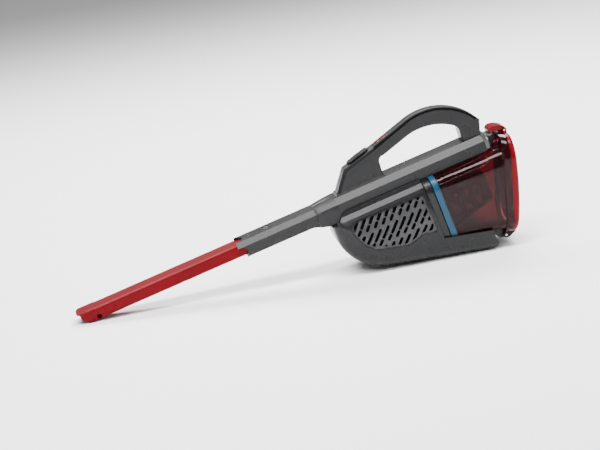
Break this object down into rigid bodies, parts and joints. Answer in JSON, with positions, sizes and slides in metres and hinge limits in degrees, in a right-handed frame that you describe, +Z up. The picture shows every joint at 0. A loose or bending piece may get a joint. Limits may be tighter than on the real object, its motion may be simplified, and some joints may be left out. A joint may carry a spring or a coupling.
{
  "type": "handheld vacuum",
  "caption": "Cordless hand vacuum with a pull-out crevice tool, loop handle, side-vented motor pod and translucent dust bowl with a hinged rear door.",
  "frame": {"origin": "under the middle of the standing assembly, on the surface it stands on", "axes": "+X from the tool's tip to the rear door, +Z up, +Y to the right of a user who points the tool away"},
  "size_m": [0.6546, 0.104, 0.2136],
  "materials": {
    "shell_grey": "satin moulded plastic",
    "barrel_grey": "satin moulded plastic",
    "tool_red": "semi-gloss moulded plastic",
    "soft_black": "fine matt texture",
    "black_plastic": "satin",
    "black_rubber": "matt",
    "lens_red": "dark translucent",
    "filter_blue": "satin",
    "paper_white": "pleated fleece",
    "cup_dark": "satin",
    "duct_grey": "satin",
    "smoke_red": "smoky red transparent plastic",
    "door_red": "high gloss",
    "steel": "plain",
    "motor_steel": "drawn can",
    "fan_plastic": "satin",
    "cell_wrap": "shrink sleeve",
    "board_green": "lacquered board",
    "holder_natural": "natural plastic",
    "button_grey": "gloss",
    "nickel": "plain"
  },
  "bodies": {
    "housing": {"housing_left": "shell_grey", "housing_right": "shell_grey", "handle_left": "shell_grey", "handle_right": "shell_grey", "housing_screws": "steel", "nozzle_barrel": "barrel_grey", "release_spring": "steel", "tool_guide": "black_plastic", "inlet_elbow": "black_plastic", "handle_grip": "soft_black", "indicator_lens": "lens_red", "switch_bezel": "black_plastic", "switch_body": "black_plastic", "grille_left": "shell_grey", "grille_right": "shell_grey", "filter_seat": "black_plastic", "seat_gasket": "black_rubber", "motor_can": "motor_steel", "motor_bracket": "fan_plastic", "fan_shroud": "fan_plastic", "battery_cells": "cell_wrap", "battery_holder": "holder_natural", "cell_straps": "nickel", "circuit_board": "board_green", "charge_socket": "black_plastic", "rear_feet": "black_rubber", "bowl_release_spring": "steel"},
    "tool": {"crevice_tool": "tool_red", "tool_seal": "black_rubber"},
    "release_slider": {"tool_release": "barrel_grey"},
    "switch": {"power_switch": "soft_black"},
    "rotor": {"motor_shaft": "steel", "impeller": "fan_plastic"},
    "bowl": {"dust_bowl": "smoke_red", "door_catch": "black_plastic", "inlet_duct": "duct_grey", "flap_pin": "steel", "filter_frame": "filter_blue", "filter_pleats": "paper_white", "prefilter_cup": "cup_dark", "hinge_block": "black_plastic", "hinge_pin": "steel"},
    "flap": {"inlet_flap": "black_rubber"},
    "door": {"bowl_door": "door_red", "door_seal": "black_rubber", "latch_pin": "steel", "latch_spring": "steel"},
    "latch": {"door_latch": "door_red"},
    "bowl_button": {"bowl_release": "button_grey"}
  },
  "joints": [
    {"name": "tool_slide", "type": "slide", "parent": "housing", "child": "tool", "axis": [0.9735, 0, 0.2288], "range_m": [0, 0.2]},
    {"name": "tool_release_slide", "type": "slide", "parent": "housing", "child": "release_slider", "axis": [0.9735, 0, 0.2288], "range_m": [0, 0.004], "stiffness_N_per_m": 200, "springref_m": -0.002, "deforming": ["release_spring"]},
    {"name": "power_slide", "type": "slide", "parent": "housing", "child": "switch", "axis": [-0.8828, 0, -0.4697], "range_m": [0, 0.006]},
    {"name": "impeller_spin", "type": "hinge", "parent": "housing", "child": "rotor", "pos_m": [0.17677, 0, 0.05944], "axis": [0.9735, 0, 0.2288], "continuous": true},
    {"name": "bowl_slide", "type": "slide", "parent": "housing", "child": "bowl", "axis": [0.9735, 0, 0.2288], "range_m": [0, 0.13]},
    {"name": "inlet_flap_hinge", "type": "hinge", "parent": "bowl", "child": "flap", "pos_m": [0.27751, 0, 0.13304], "axis": [0, -1, 0], "range_deg": [0, 60]},
    {"name": "door_hinge", "type": "hinge", "parent": "bowl", "child": "door", "pos_m": [0.30138, 0, 0.01294], "axis": [0, 1, 0], "range_deg": [0, 100]},
    {"name": "latch_hinge", "type": "hinge", "parent": "door", "child": "latch", "pos_m": [0.32037, 0, 0.16412], "axis": [0, 1, 0], "range_deg": [0, 18], "stiffness_Nm_per_rad": 0.04, "springref_deg": -8.59},
    {"name": "bowl_release_press", "type": "slide", "parent": "housing", "child": "bowl_button", "axis": [0.2288, 0, -0.9735], "range_m": [0, 0.002], "stiffness_N_per_m": 400, "springref_m": -0.002, "deforming": ["bowl_release_spring"]}
  ]
}
